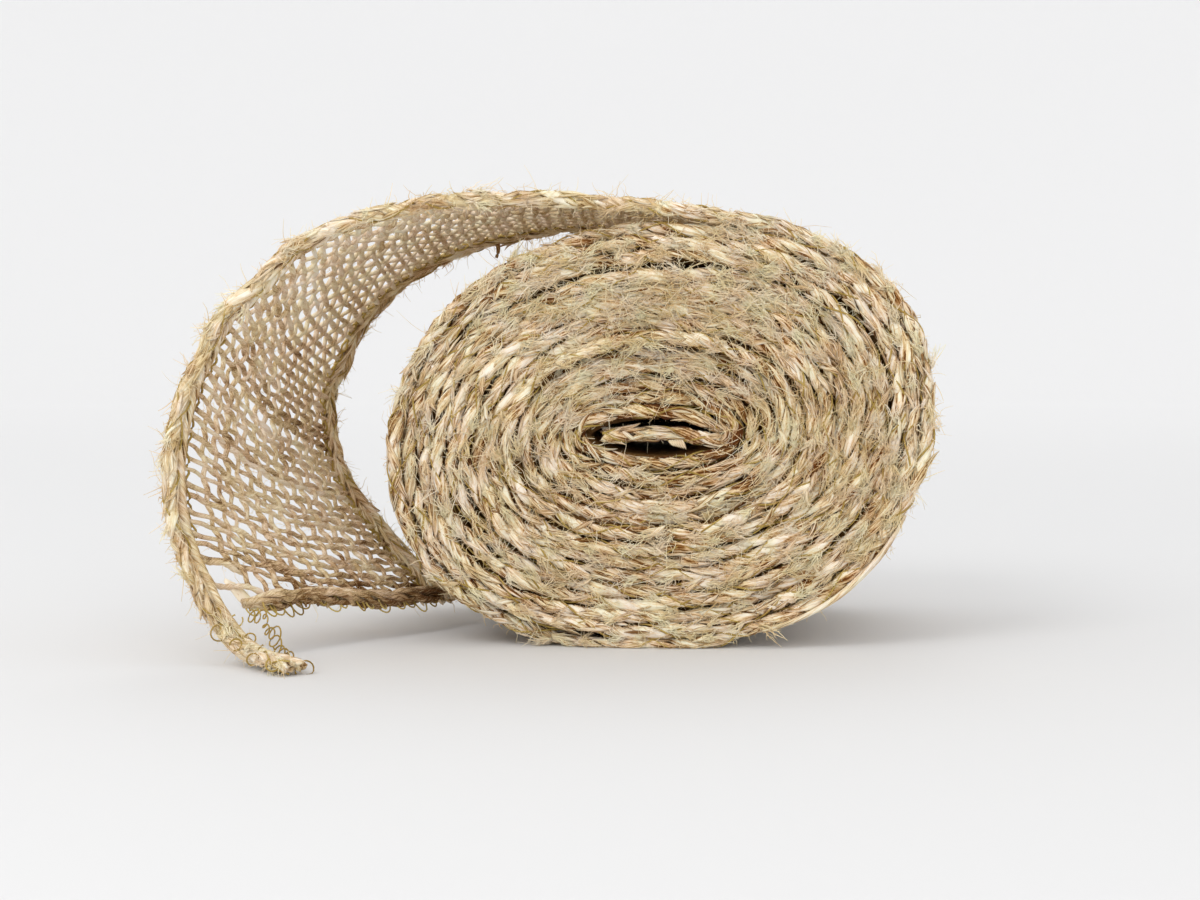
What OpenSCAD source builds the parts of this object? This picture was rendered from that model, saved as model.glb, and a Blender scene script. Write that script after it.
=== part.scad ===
// Coreless roll of open-mesh jute ribbon, lying on its side with a free tail.
// Millimetres. +X right, +Y into the roll along its winding axis, +Z up.
// Origin: the middle of the flat that the roll rests on, halfway between its two faces.

/* [Ribbon] */
// Width of the ribbon, selvedge to selvedge
ribbon_w = 60; // [50:1:80]
// Width of each thick bound selvedge
selvedge_w = 5; // [3:0.5:7]
// Thickness of a selvedge
selvedge_t = 2; // [1.8:0.1:2]
// Width of the stitching thread's run beside each selvedge
stitch_w = 0.8; // [0.5:0.1:1.2]
// Thickness of the stitching thread's run
stitch_t = 1.0; // [0.6:0.1:1.4]
// Thickness of the net between the selvedges
web_t = 1.4; // [1:0.1:1.8]
// Diameter of one jute yarn of the net
yarn_d = 1.1; // [0.8:0.1:1.2]

/* [Roll] */
// Half of the roll's width, to the middle of the outer turn
roll_half_w = 48.9; // [46:0.1:50]
// Half of the roll's height, to the middle of the outer turn at its foot
roll_half_h = 39; // [37:0.1:39.5]
// Half of the core slot's width, to the middle of the first turn
core_half_w = 13; // [12:0.1:15]
// Half of the core slot's height, to the middle of the first turn
core_half_h = 4.2; // [4:0.1:5]
// Whole turns from the core to the outside
turns = 14; // [13:1:14]
// Angle, anticlockwise from +X, at which the outer turn peels off
peel_angle = 72; // [66:1:76]
// Sideways lean of the squashed roll, per unit of height
lean = 0.11; // [0.08:0.01:0.13]
// How far the roll's weight flattens its foot
foot_squash = 0.5; // [0.4:0.1:0.6]

/* [Inner end] */
// Length of the ribbon's inner end, which lies flat in the core slot
inner_end_l = 20; // [16:1:21]

/* [Tail] */
// Clearance between a fold's middle and the panels on either side of it
fold_gap = 0.9; // [0.8:0.05:1.2]

/* [Hidden] */

straw = [0.80, 0.71, 0.53];
thread = [0.72, 0.62, 0.36];
net = [0.76, 0.66, 0.50];
inner = [0.70, 0.60, 0.42];

steps_per_turn = 32;
wound_angle = 360 * turns + peel_angle;
// The outer turn passes the foot of the roll this far back from its end.
foot_angle = wound_angle - peel_angle - 90;
grow_w = (roll_half_w - core_half_w) / foot_angle;
grow_h = (roll_half_h - core_half_h) / foot_angle;
centre_z = roll_half_h + selvedge_t / 2 - foot_squash;
squareness_core = 2;
squareness_outside = 2.15;
exact_fn = 48;

half_w = ribbon_w / 2;
// The parts of the ribbon's width, as distances from its front edge
selvedge_end = selvedge_w;
stitch_end = selvedge_w + stitch_w;
// Clearance that keeps the tail's twisted stitching strips out of their neighbours
seam_gap = 0.06;

function signed_power(value, exponent) = sign(value) * pow(abs(value), exponent);

// Middle of the wound ribbon after turning through the given angle, as [x, z]
function wound(angle) =
    let (
        share = angle / wound_angle,
        power = 2 / (squareness_core + (squareness_outside - squareness_core) * share),
        rise = (core_half_h + grow_h * angle) * signed_power(sin(angle), power),
        reach = (core_half_w + grow_w * angle) * signed_power(cos(angle), power)
    )
    [reach + lean * (rise + roll_half_h), centre_z + rise];

function unit(v) = v / norm(v);

// Direction in which the wound ribbon runs, as [x, z]
function wound_run(angle) = unit(wound(angle + 1) - wound(angle - 1));

// A point beside the wound ribbon's middle: positive distances are outside the turn
function beside(angle, distance) =
    let (run = wound_run(angle))
    wound(angle) + distance * [run.y, -run.x];

// The wound part stops short of the first fold.
coil_end_angle = wound_angle - fold_gap / norm(wound(wound_angle) - wound(wound_angle - 1));

module wound_strip(front, back, thickness) {
    angles = [for (i = [0 : coil_end_angle * steps_per_turn / 360]) i * 360 / steps_per_turn];
    all_angles = concat(angles, [coil_end_angle]);
    outside = [for (a = all_angles) beside(a, thickness / 2)];
    inside = [for (i = [len(all_angles) - 1 : -1 : 0]) beside(all_angles[i], -thickness / 2)];
    difference() {
        translate([0, back - half_w, 0])
            rotate([90, 0, 0])
                linear_extrude(back - front)
                    polygon(concat(outside, inside));
        // the table that flattens the roll's foot
        translate([-roll_half_w, -ribbon_w, -roll_half_h])
            cube([2 * roll_half_w, 2 * ribbon_w, roll_half_h]);
    }
}

module front_selvedge_coil() color(straw) wound_strip(0, selvedge_end, selvedge_t);
module front_stitching_coil() color(thread) wound_strip(selvedge_end, stitch_end, stitch_t);
module web_coil() color(net) wound_strip(stitch_end, ribbon_w - stitch_end, web_t);
module back_stitching_coil() color(thread)
    wound_strip(ribbon_w - stitch_end, ribbon_w - selvedge_end, stitch_t);
module back_selvedge_coil() color(straw) wound_strip(ribbon_w - selvedge_end, ribbon_w, selvedge_t);

// The inner end: a flat tongue in the middle of the core slot, rounded at its cut end and at its fold.
module inner_end_strip(front, back, thickness) {
    straight = inner_end_l - thickness;
    translate([lean * roll_half_h, back - half_w, centre_z])
        rotate([90, 0, 0])
            linear_extrude(back - front) {
                square([straight, thickness], center = true);
                for (side = [-1, 1])
                    translate([side * straight / 2, 0])
                        circle(d = thickness, $fn = exact_fn);
            }
}

module inner_end_front_selvedge() color(inner) inner_end_strip(0, selvedge_end, selvedge_t);
module inner_end_web() color(net) inner_end_strip(selvedge_end, ribbon_w - selvedge_end, web_t);
module inner_end_back_selvedge() color(inner)
    inner_end_strip(ribbon_w - selvedge_end, ribbon_w, selvedge_t);

// The tail's two edges, every 20 mm along the ribbon. They start on the outer turn and end at the web's cut.
peel_point = wound(wound_angle);
before_peel = peel_point - 20 * wound_run(wound_angle);
front_edge = [
    [before_peel.x, -half_w, before_peel.y],
    [peel_point.x, -half_w, peel_point.y],
    [5, -half_w - 1.5, 81],
    [-15.5, -half_w - 3.5, 82.5],
    [-36, -half_w - 5.5, 82],
    [-55, -half_w - 8, 76.5],
    [-70.5, -half_w - 11, 64.5],
    [-79.5, -half_w - 15, 48],
    [-81, -half_w - 18, 28],
    [-74.5, -half_w - 20.5, 10],
    [-60.5, -half_w - 24, -8.5]
];
back_edge = [
    [before_peel.x, half_w, before_peel.y],
    [peel_point.x, half_w, peel_point.y],
    [5, half_w - 1, 81],
    [-15, half_w - 2.5, 81],
    [-35, half_w - 5, 76.5],
    [-52, half_w - 8, 65.5],
    [-62, half_w - 12.5, 48.5],
    [-60, half_w - 20, 31.5],
    [-48.5, half_w - 27.5, 17.5],
    [-35, half_w - 34, 5.5],
    [-21, half_w - 37.5, -1]
];
// End of the front selvedge, which was cut longer than the web
tip_end = [-58.5, -half_w - 33, 1.5];

// Places of the folds along the tail, in stations of 20 mm
peel_at = 0;
crown_at = 2;
shoulder_at = 3.75;
side_at = 5.25;
foot_at = 6.6;
cut_at = 8;
station_l = 20;
panel_steps_per_station = 3;

// Smooth curve through the stations of an edge
function along(edge, at) =
    let (
        i = min(floor(at), len(edge) - 4),
        t = at - i,
        a = edge[i],
        b = edge[i + 1],
        c = edge[i + 2],
        d = edge[i + 3]
    )
    b + t / 2 * ((c - a) + t * ((2 * a - 5 * b + 4 * c - d) + t * (3 * b - a - 3 * c + d)));

// A point of the tail's middle layer, at a station and at a distance from the ribbon's front edge
function tail_point(at, across) =
    let (front = along(front_edge, at), back = along(back_edge, at))
    front + (back - front) * across / ribbon_w;

function normal(at, across) =
    let (
        nudge = 0.01,
        run = tail_point(at + nudge, across) - tail_point(at - nudge, across),
        width = tail_point(at, across + 1) - tail_point(at, across)
    )
    unit(cross(run, width));

// One closed strip with a rectangular section, from rings of four corners each
module ringed_strip(rings) {
    last = len(rings) - 1;
    sides = [
        for (i = [0 : last - 1])
            for (j = [0 : 3])
                let (here = 4 * i + j, beside = 4 * i + (j + 1) % 4)
                each [[here, beside, beside + 4], [here, beside + 4, here + 4]]
    ];
    end = 4 * last;
    ends = [[2, 1, 0], [3, 2, 0], [end, end + 1, end + 2], [end, end + 2, end + 3]];
    polyhedron(
        points = [for (ring = rings) for (corner = ring) corner],
        faces = concat(sides, ends),
        convexity = 4
    );
}

function ring_at(at, front, back, thickness) =
    let (half_t = thickness / 2)
    [
        tail_point(at, front) + half_t * normal(at, front),
        tail_point(at, back) + half_t * normal(at, back),
        tail_point(at, back) - half_t * normal(at, back),
        tail_point(at, front) - half_t * normal(at, front)
    ];

module panel(from, to, front, back, thickness) {
    clear = fold_gap / station_l;
    first = from + clear;
    last = to - clear;
    steps = ceil((last - first) * panel_steps_per_station);
    ringed_strip([for (i = [0 : steps]) ring_at(first + (last - first) * i / steps, front, back, thickness)]);
}

// The weft yarn that a fold turns about
module fold_yarn(at, front = stitch_end, back = ribbon_w - stitch_end) {
    start = tail_point(at, front);
    reach = tail_point(at, back) - start;
    bearing = atan2(reach.y, reach.x);
    tilt = acos(reach.z / norm(reach));
    color(net)
        translate(start)
            rotate([0, tilt, bearing])
                cylinder(d = yarn_d, h = norm(reach), $fn = exact_fn);
}

module front_selvedge(from, to) color(straw) panel(from, to, 0, selvedge_end, selvedge_t);
module front_stitching(from, to) color(thread)
    panel(from, to, selvedge_end + seam_gap, stitch_end - seam_gap, stitch_t);
module web(from, to) color(net) panel(from, to, stitch_end, ribbon_w - stitch_end, web_t);
module back_stitching(from, to) color(thread)
    panel(from, to, ribbon_w - stitch_end + seam_gap, ribbon_w - selvedge_end - seam_gap, stitch_t);
module back_selvedge(from, to) color(straw)
    panel(from, to, ribbon_w - selvedge_end, ribbon_w, selvedge_t);

// The loose end of the front selvedge, beyond the web's cut
module loose_tip() {
    start = tail_point(cut_at, 0);
    width = tail_point(cut_at, selvedge_end) - start;
    run = unit(tip_end - start);
    out = selvedge_t / 2 * unit(cross(run, width));
    color(straw)
        ringed_strip([
            for (corner = [start + fold_gap * run, tip_end])
                [corner + out, corner + width + out, corner + width - out, corner - out]
        ]);
}

front_selvedge_coil();
front_stitching_coil();
web_coil();
back_stitching_coil();
back_selvedge_coil();

inner_end_front_selvedge();
inner_end_web();
inner_end_back_selvedge();

front_selvedge(peel_at, crown_at);  // peel_front_selvedge
front_stitching(peel_at, crown_at);  // peel_front_stitching
web(peel_at, crown_at);  // peel_web
back_stitching(peel_at, crown_at);  // peel_back_stitching
back_selvedge(peel_at, crown_at);  // peel_back_selvedge
fold_yarn(peel_at);  // peel_fold_yarn

front_selvedge(crown_at, shoulder_at);  // crown_front_selvedge
front_stitching(crown_at, shoulder_at);  // crown_front_stitching
web(crown_at, shoulder_at);  // crown_web
back_stitching(crown_at, shoulder_at);  // crown_back_stitching
back_selvedge(crown_at, shoulder_at);  // crown_back_selvedge
fold_yarn(crown_at);  // crown_fold_yarn

front_selvedge(shoulder_at, side_at);  // shoulder_front_selvedge
front_stitching(shoulder_at, side_at);  // shoulder_front_stitching
web(shoulder_at, side_at);  // shoulder_web
back_stitching(shoulder_at, side_at);  // shoulder_back_stitching
back_selvedge(shoulder_at, side_at);  // shoulder_back_selvedge
fold_yarn(shoulder_at);  // shoulder_fold_yarn

front_selvedge(side_at, foot_at);  // side_front_selvedge
front_stitching(side_at, foot_at);  // side_front_stitching
web(side_at, foot_at);  // side_web
back_stitching(side_at, foot_at);  // side_back_stitching
back_selvedge(side_at, foot_at);  // side_back_selvedge
fold_yarn(side_at);  // side_fold_yarn

front_selvedge(foot_at, cut_at);  // foot_front_selvedge
front_stitching(foot_at, cut_at);  // foot_front_stitching
web(foot_at, cut_at);  // foot_web
back_stitching(foot_at, cut_at);  // foot_back_stitching
back_selvedge(foot_at, cut_at);  // foot_back_selvedge
fold_yarn(foot_at);  // foot_fold_yarn

loose_tip();  // selvedge_tip
fold_yarn(cut_at, 0, selvedge_end);  // selvedge_tip_fold_yarn
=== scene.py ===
"""The looks of a coreless roll of jute mesh ribbon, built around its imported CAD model.

A place on the ribbon is given in millimetres by s, the distance along it (below zero on the roll, zero
where the tail leaves it, above zero on the tail), across, the distance from its front edge, and lift, the
height over the strip's middle on its outer face. place() turns them into a point of the frame, so every
yarn, thread and fibre follows the same strip as the CAD solids.
"""
import math

import bpy
import numpy as np
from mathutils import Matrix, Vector
from numpy.random import default_rng


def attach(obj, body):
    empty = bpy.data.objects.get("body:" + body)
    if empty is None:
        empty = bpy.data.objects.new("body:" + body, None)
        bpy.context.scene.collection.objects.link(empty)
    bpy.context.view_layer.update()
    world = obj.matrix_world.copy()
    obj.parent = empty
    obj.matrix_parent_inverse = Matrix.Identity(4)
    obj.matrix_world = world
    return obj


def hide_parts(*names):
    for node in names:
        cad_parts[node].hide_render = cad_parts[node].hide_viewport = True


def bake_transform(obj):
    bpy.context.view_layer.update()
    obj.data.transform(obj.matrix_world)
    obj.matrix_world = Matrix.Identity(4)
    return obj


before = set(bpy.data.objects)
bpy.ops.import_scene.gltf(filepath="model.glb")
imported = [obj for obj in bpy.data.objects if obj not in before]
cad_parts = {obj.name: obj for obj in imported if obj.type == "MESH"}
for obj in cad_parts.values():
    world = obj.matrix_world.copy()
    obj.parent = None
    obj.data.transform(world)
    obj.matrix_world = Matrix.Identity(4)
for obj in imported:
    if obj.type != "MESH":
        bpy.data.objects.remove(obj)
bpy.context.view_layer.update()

MM = 0.001

# The ribbon, as in the CAD model
RIBBON_W = 60.0
SELVEDGE_W = 5.0
STITCH_W = 0.8
WEB_START = SELVEDGE_W + STITCH_W
WEB_END = RIBBON_W - WEB_START

# The roll, as in the CAD model
ROLL_HALF_W = 48.9
ROLL_HALF_H = 39.0
CORE_HALF_W = 13.0
CORE_HALF_H = 4.2
TURNS = 14
PEEL_ANGLE = 72.0
LEAN = 0.11
CENTRE_Z = 39.5
SQUARENESS_CORE = 2.0
SQUARENESS_OUTSIDE = 2.15
WOUND_ANGLE = 360 * TURNS + PEEL_ANGLE
FOOT_ANGLE = WOUND_ANGLE - PEEL_ANGLE - 90
GROW_W = (ROLL_HALF_W - CORE_HALF_W) / FOOT_ANGLE
GROW_H = (ROLL_HALF_H - CORE_HALF_H) / FOOT_ANGLE

# The tail, as in the CAD model: points of its two edges every 20 mm, after the two that the roll gives. y is
# counted from the edges of the roll
STATION = 20.0
HALF_W = RIBBON_W / 2
FRONT_EDGE = [
    (5, -1.5, 81), (-15.5, -3.5, 82.5), (-36, -5.5, 82), (-55, -8, 76.5), (-70.5, -11, 64.5),
    (-79.5, -15, 48), (-81, -18, 28), (-74.5, -20.5, 10), (-60.5, -24, -8.5),
]
BACK_EDGE = [
    (5, -1, 81), (-15, -2.5, 81), (-35, -5, 76.5), (-52, -8, 65.5), (-62, -12.5, 48.5),
    (-60, -20, 31.5), (-48.5, -27.5, 17.5), (-35, -34, 5.5), (-21, -37.5, -1),
]
TIP_END = np.array([-58.5, -HALF_W - 33, 1.5])
FOLDS = {"peel": 0.0, "crown": 40.0, "shoulder": 75.0, "side": 105.0, "foot": 132.0, "tip": 160.0}
CUT_AT = 160.0

# The inner end, which lies in the core slot
INNER_END_L = 21.5
INNER_BEND_R = 1.5
PINCH_FRONT = 0.55
PINCH_BACK = 2.6
PINCHED_TURNS = 6.0

# Points that would sink below the floor are pressed into this height above it
SOLE = 0.35

# Yarns, threads and fibres
EDGE_ROPE_AT = 1.35
INNER_ROPE_AT = 3.75
PLIES = 3
PLY_OFFSET = 0.68
PLY_WIDE = 0.86
PLY_THICK = 0.6
LEAVES = 211
LAY = 13.5
WEFT_SPACING = 2.35
WARPS = 14
WARP_SPACING = (WEB_END - WEB_START) / (WARPS + 1)
YARN_D = 1.02
YARN_SIDES = 7
YARN_TWIST = 1.2
STITCH_L = 3.2
THREAD_D = 0.34
LOOP_THREAD_R = 0.15
FIBRE_R = 0.072
# Each winding of the binding thread: its length and where it starts, in radians
BINDING_LAYS = [(13.0, 0.0), (-19.0, 1.0)]


# ---------- the strip that everything follows

def unit(v):
    return v / np.linalg.norm(v, axis=-1, keepdims=True)


def smooth(t):
    t = np.clip(t, 0, 1)
    return t * t * (3 - 2 * t)


def wound(angle):
    """Middle of the wound ribbon after turning through these angles, as x and z."""
    power = 2 / (SQUARENESS_CORE + (SQUARENESS_OUTSIDE - SQUARENESS_CORE) * angle / WOUND_ANGLE)
    sine, cosine = np.sin(np.radians(angle)), np.cos(np.radians(angle))
    rise = (CORE_HALF_H + GROW_H * angle) * np.sign(sine) * np.abs(sine) ** power
    reach = (CORE_HALF_W + GROW_W * angle) * np.sign(cosine) * np.abs(cosine) ** power
    return np.stack([reach + LEAN * (rise + ROLL_HALF_H), CENTRE_Z + rise], -1)


def inner_end_path():
    """The flat inner end from its cut to the first turn: a straight run and a quarter bend, as x and z."""
    start = wound(np.array([0.0]))[0]
    bend = np.radians(np.arange(-90, 0, 6))
    arc = start + INNER_BEND_R * np.stack([np.cos(bend) - 1, np.sin(bend)], -1)
    x = arc[0, 0] - np.arange(INNER_END_L, 0, -0.5)
    rise = INNER_BEND_R * smooth((arc[0, 0] - x) / 9)
    return np.concatenate([np.stack([x, arc[0, 1] + rise], -1), arc])


WOUND_TABLE_ANGLES = np.arange(0, WOUND_ANGLE + 0.25, 0.5)
inner_path = inner_end_path()
path = np.concatenate([inner_path, wound(WOUND_TABLE_ANGLES)])
path_s = np.concatenate([[0], np.cumsum(np.linalg.norm(np.diff(path, axis=0), axis=1))])
path_s -= path_s[-1]
path_run = unit(np.gradient(path, axis=0))
path_out = np.stack([path_run[:, 1], -path_run[:, 0]], -1)
PATH_START = path_s[0]
path_angle = np.concatenate([np.zeros(len(inner_path)), WOUND_TABLE_ANGLES])


def turns_out(s):
    """Turns from the core to this place of the roll."""
    return np.interp(s, path_s, path_angle) / 360


def along_path(table, s):
    return (np.interp(s, path_s, table[:, i]) for i in (0, 1))


def wound_s(angle):
    """Distance along the ribbon at this angle of the spiral."""
    return float(np.interp(angle, WOUND_TABLE_ANGLES, path_s[len(inner_path):]))


OUTERMOST = wound_s(WOUND_ANGLE - 360)
PEEL_POINT = path[-1]
BEFORE_PEEL = PEEL_POINT - STATION * path_run[-1]


def whole_edge(edge, y):
    on_roll = [(x, 0, z) for x, z in (BEFORE_PEEL, PEEL_POINT)]
    return np.array([(x, y + past, z) for x, past, z in on_roll + edge], float)


front_edge = whole_edge(FRONT_EDGE, -HALF_W)
back_edge = whole_edge(BACK_EDGE, HALF_W)


def along_edge(edge, at):
    """Smooth curve through an edge's stations."""
    i = np.clip(np.floor(at).astype(int), 0, len(edge) - 4)
    t = (at - i)[..., None]
    a, b, c, d = edge[i], edge[i + 1], edge[i + 2], edge[i + 3]
    return b + t / 2 * ((c - a) + t * ((2 * a - 5 * b + 4 * c - d) + t * (3 * b - a - 3 * c + d)))


TIP_START = along_edge(front_edge, np.array(CUT_AT / STATION))
TIP_L = float(np.linalg.norm(TIP_END - TIP_START))
TIP_TURN = unit(TIP_START - along_edge(front_edge, np.array(CUT_AT / STATION - 0.05)))


def tail(s, across):
    """Middle of the tail, and past the web's cut the loose end of the front selvedge."""
    at = np.minimum(s, CUT_AT) / STATION
    front, back = along_edge(front_edge, at), along_edge(back_edge, at)
    t = np.clip((s - CUT_AT) / TIP_L, 0, 2)[..., None]
    straight = TIP_END - TIP_START
    beyond = t * ((1 - smooth(t)) * TIP_TURN * TIP_L + smooth(t) * straight)
    return front + (back - front) * (across / RIBBON_W)[..., None] + beyond


def tail_out(s, across):
    nudge = 0.4
    run = tail(s + nudge, across) - tail(s - nudge, across)
    width = tail(s, across + 1) - tail(s, across)
    return unit(np.cross(width, run))


def pinch(s, across):
    """The inner turns close in, most of all at the back, so that little light comes through the slot."""
    out = turns_out(s)
    mostly_above = 0.7 + 0.3 * np.sin(math.tau * out)
    fades = smooth(out / 0.1) * smooth((PINCHED_TURNS - out) / (PINCHED_TURNS - 0.1))
    return -(PINCH_FRONT + (PINCH_BACK - PINCH_FRONT) * smooth(across / RIBBON_W)) * mostly_above * fades


def place(s, across, lift=0.0):
    """Point of the frame, in millimetres, for a place on the ribbon."""
    s, across, lift = np.broadcast_arrays(*[np.asarray(v, float) for v in (s, across, lift)])
    lift = lift + pinch(s, across)
    x, z = along_path(path, s)
    out_x, out_z = along_path(path_out, s)
    on_roll = np.stack([x + lift * out_x, across - HALF_W, z + lift * out_z], -1)
    tail_s = np.maximum(s, 0)
    on_tail = tail(tail_s, across) + lift[..., None] * tail_out(np.maximum(tail_s, 0.4), across)
    return np.where((s > 0)[..., None], on_tail, on_roll)


def directions(s, across):
    """The ribbon's run, its outward direction and its width, as unit vectors."""
    nudge = 0.3
    run = unit(place(s + nudge, across) - place(s - nudge, across))
    width = unit(place(s, across + nudge) - place(s, across - nudge))
    return run, unit(np.cross(width, run)), width


def wander(spacing, size, seed):
    """A smooth random function of the distance along the ribbon."""
    reach = 2600.0
    knots = default_rng(seed).normal(0, size, int(2 * reach / spacing) + 2)

    def value(s):
        u = (np.asarray(s, float) + reach) / spacing
        i = np.floor(u).astype(int)
        t = smooth(u - i)
        return knots[i] * (1 - t) + knots[i + 1] * t

    return value


# ---------- tubes gathered into meshes

def above_floor(z):
    """Heights in millimetres, with all that lies lower than SOLE pressed between the floor and SOLE."""
    return np.where(z < SOLE, SOLE * np.exp(np.minimum(z / SOLE - 1, 0)), z)


def add_object(name, data):
    made = bpy.data.objects.new(name, data)
    bpy.context.scene.collection.objects.link(made)
    return made


class Part:
    """Tubes gathered into one mesh, with the fibre coordinates and tones that the materials read."""

    def __init__(self):
        self.points, self.fibres, self.tones, self.faces, self.slots = [], [], [], [], []
        self.count = 0

    def add(self, rings, fibre, tone, slot):
        """rings holds the points of tubes x rings x sides; fibre and tone match it. The ends are closed."""
        tubes, length, sides = rings.shape[:3]
        index = self.count + np.arange(tubes * length * sides).reshape(tubes, length, sides)
        after = np.roll(index, -1, axis=2)
        walls = np.stack([index[:, :-1], after[:, :-1], after[:, 1:], index[:, 1:]], -1).reshape(-1, 4)
        self.points.append(rings.reshape(-1, 3))
        self.fibres.append(np.broadcast_to(fibre, rings.shape).reshape(-1, 3))
        self.tones.append(np.broadcast_to(tone, rings.shape[:3]).reshape(-1))
        for faces in (walls, index[:, 0, ::-1], index[:, -1]):
            self.faces.append(faces)
            self.slots.append(np.full(len(faces), slot))
        self.count += tubes * length * sides

    def piece(self, name, materials):
        mesh = bpy.data.meshes.new(name)
        points = np.concatenate(self.points)
        points[:, 2] = above_floor(points[:, 2])
        mesh.vertices.add(len(points))
        mesh.vertices.foreach_set("co", (points * MM).astype(np.float32).ravel())
        sizes = np.concatenate([np.full(len(f), f.shape[1]) for f in self.faces])
        corners = np.concatenate([f.ravel() for f in self.faces])
        mesh.loops.add(len(corners))
        mesh.loops.foreach_set("vertex_index", corners.astype(np.int32))
        mesh.polygons.add(len(sizes))
        starts = np.concatenate([[0], np.cumsum(sizes)[:-1]])
        for key, values in (("loop_start", starts), ("material_index", np.concatenate(self.slots))):
            mesh.polygons.foreach_set(key, values.astype(np.int32))
        mesh.polygons.foreach_set("use_smooth", np.ones(len(sizes), bool))
        mesh.update(calc_edges=True)
        for title, kind, key, values in (("fibre", "FLOAT_VECTOR", "vector", self.fibres),
                                         ("tone", "FLOAT", "value", self.tones)):
            attribute = mesh.attributes.new(title, kind, "POINT")
            attribute.data.foreach_set(key, np.concatenate(values).astype(np.float32).ravel())
        for m in materials:
            mesh.materials.append(m)
        return add_object(name, mesh)


def tube_rings(centre, tangent, up, wide, thick, sides, along, ridges=None, twist=0.0):
    """Points and fibre coordinates of oval tubes round centre lines of tubes x points x 3."""
    up = np.asarray(up, float)
    up = unit(up - (up * tangent).sum(-1, keepdims=True) * tangent)
    side = np.cross(tangent, up)
    angle = np.arange(sides) * math.tau / sides
    swell = np.ones(centre.shape[:2] + (sides,)) if ridges is None else 1 + ridges
    wide, thick, along = (np.broadcast_to(v, centre.shape[:2])[..., None] for v in (wide, thick, along))
    rings = (
        centre[:, :, None]
        + (swell * np.cos(angle) * thick)[..., None] * up[:, :, None]
        + (swell * np.sin(angle) * wide)[..., None] * side[:, :, None]
    )
    turn = angle + along * twist
    return rings, np.stack([np.cos(turn), np.sin(turn), np.broadcast_to(along, turn.shape)], -1)


def add_tubes(part, centre, tangent, up, wide, thick, sides, slot, along, tone, ridges=None, twist=0.0):
    rings, fibre = tube_rings(centre, tangent, up, wide, thick, sides, along, ridges, twist)
    part.add(rings, fibre, np.broadcast_to(tone, centre.shape[:2])[..., None], slot)


def add_curve(part, curve, up, wide, thick, sides, slot, along, tone, twist=0.0):
    """One tube along the points of its centre line."""
    centre = curve[None]
    add_tubes(part, centre, tangents(centre), up, wide, thick, sides, slot, along, tone, twist=twist)


def add_thread(part, curve, radius, slot, tone, sides=5):
    far = np.concatenate([[0], np.cumsum(np.linalg.norm(np.diff(curve, axis=0), axis=1))])
    add_curve(part, curve, [0.31, 0.17, 0.93], radius, radius, sides, slot, far, tone, twist=1.0)


def tangents(curves):
    return unit(np.gradient(curves, axis=1))


def steps(start, end, step):
    return np.linspace(start, end, max(2, int(round((end - start) / step)) + 1))


# ---------- what the ribbon is made of

front_wander, back_wander = wander(21, 0.6, 11), wander(21, 0.42, 12)
front_jitter, back_jitter = wander(4.2, 0.24, 13), wander(4.2, 0.2, 14)
lift_wander = wander(8, 0.26, 15)


# The turns, counted from the core, where the sunk core ends, and where the proud turn round it ends
CORE_END = 5.15
RING_END = 6.15


def face_step(s):
    """How deep a turn sits in the roll's face: the core is sunk, and the turn round it stands proud."""
    out = turns_out(s)
    sunk = 1.2 * smooth((CORE_END - out) / 0.2) + 0.26 * np.maximum(5.2 - out, 0)
    ring = smooth((out - 5.05) / 0.12) * smooth((RING_END - out) / 0.3)
    behind_ring = np.exp(-((out - 6.24) / 0.12) ** 2)
    return sunk - 1.1 * ring + 0.7 * behind_ring


def slack(s):
    """The turns under the outer three sag a little at the top of the roll, which leaves a groove."""
    out = turns_out(s)
    past_top = (out - 0.26) % 1.0
    top = np.exp(-(past_top / 0.08) ** 2) + np.exp(-((past_top - 1.0) / 0.08) ** 2)
    return -0.75 * top * smooth((10.9 - out) / 0.3) * smooth((out - 7.5) / 2)


def edge_shift(s, side):
    """How far the ribbon's front edge (side 1) or back edge (side -1) strays outward or inward."""
    if side > 0:
        return front_wander(s) + front_jitter(s) + np.where(np.asarray(s) <= 0, face_step(s), 0)
    return back_wander(s) + back_jitter(s)


def across_from(side, distance):
    """Across, for a distance from the front edge (side 1) or from the back edge (side -1)."""
    return distance if side > 0 else RIBBON_W - distance


def sheltered(s):
    """How much painted shade the cords' grooves get: 1 where turns lie on both sides of a cord, and less on
    the outermost turn and the tail.
    """
    return 0.25 + 0.75 * smooth((OUTERMOST - s) / 30)


def core_shade(s):
    """1 on the first turns, where little light gets in, and less on the inner end, which stands proud."""
    return smooth((4.9 - turns_out(s)) / 3.6) * (0.35 + 0.65 * smooth((s - wound_s(0)) / 15))


# What each leaf has of its own: how far it reaches out, how high it lies, its size and its tone
REACH, HEIGHT, SIZE, TONE = range(4)


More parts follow.
